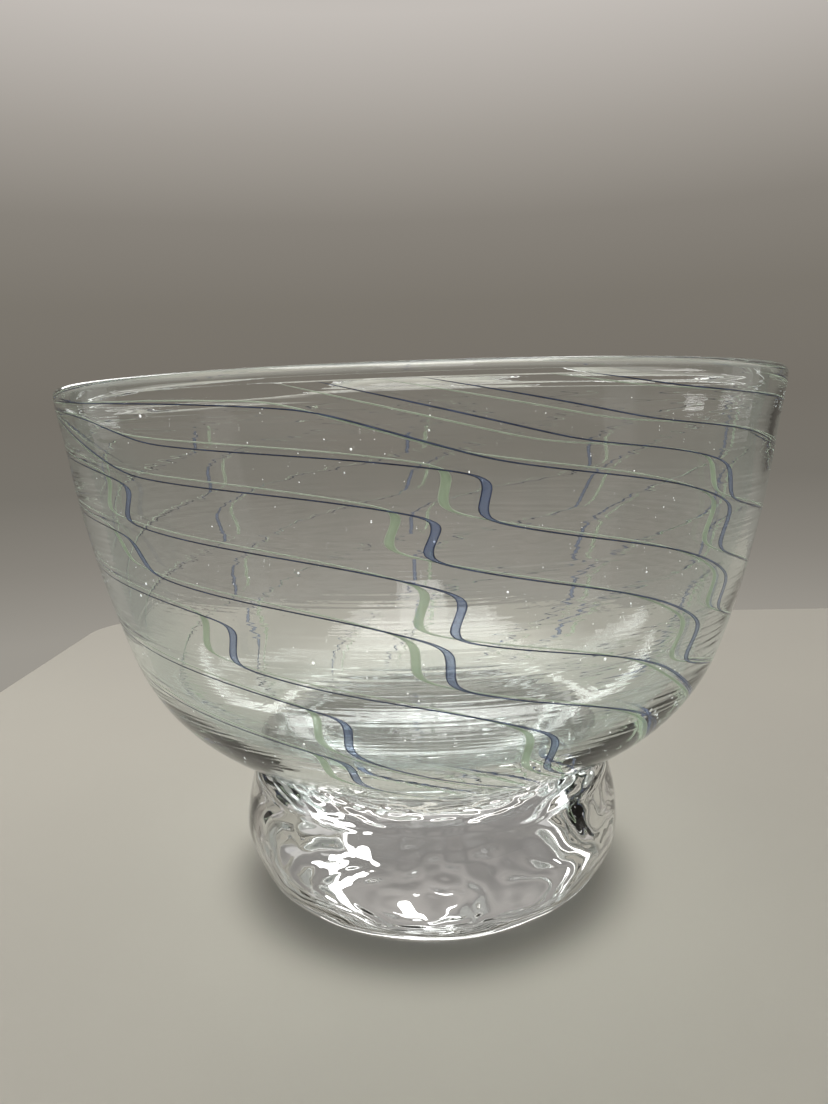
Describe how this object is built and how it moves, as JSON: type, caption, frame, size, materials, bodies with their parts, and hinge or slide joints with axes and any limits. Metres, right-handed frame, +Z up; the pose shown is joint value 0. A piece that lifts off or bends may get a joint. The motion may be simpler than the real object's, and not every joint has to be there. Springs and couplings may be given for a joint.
{
  "type": "art glass bowl",
  "caption": "Deep round blown-glass bowl with a rounded lip on a solid clear foot, its wall wound with fine green and blue glass threads that step down it.",
  "frame": {"origin": "middle of the foot's underside, on the table", "axes": "+Z up along the bowl's axis, -Y towards the front, from which thread angles are measured"},
  "size_m": [0.2, 0.2001, 0.15],
  "materials": {
    "clear_glass": "clear fire-polished blown glass with a few seed bubbles",
    "green_glass": "translucent pale green glass thread",
    "blue_glass": "translucent blue glass thread"
  },
  "bodies": {
    "root": {"bowl_wall": "clear_glass", "foot": "clear_glass", "green_thread_1": "green_glass", "green_thread_2": "green_glass", "green_thread_3": "green_glass", "green_thread_4": "green_glass", "green_thread_5": "green_glass", "green_thread_6": "green_glass", "green_thread_7": "green_glass", "green_thread_8": "green_glass", "green_thread_9": "green_glass", "green_thread_10": "green_glass", "green_thread_11": "green_glass", "green_thread_12": "green_glass", "green_thread_13": "green_glass", "green_thread_14": "green_glass", "blue_thread_1": "blue_glass", "blue_thread_2": "blue_glass", "blue_thread_3": "blue_glass", "blue_thread_4": "blue_glass", "blue_thread_5": "blue_glass", "blue_thread_6": "blue_glass", "blue_thread_7": "blue_glass", "blue_thread_8": "blue_glass", "blue_thread_9": "blue_glass", "blue_thread_10": "blue_glass", "blue_thread_11": "blue_glass", "blue_thread_12": "blue_glass", "blue_thread_13": "blue_glass", "blue_thread_14": "blue_glass"}
  },
  "joints": []
}
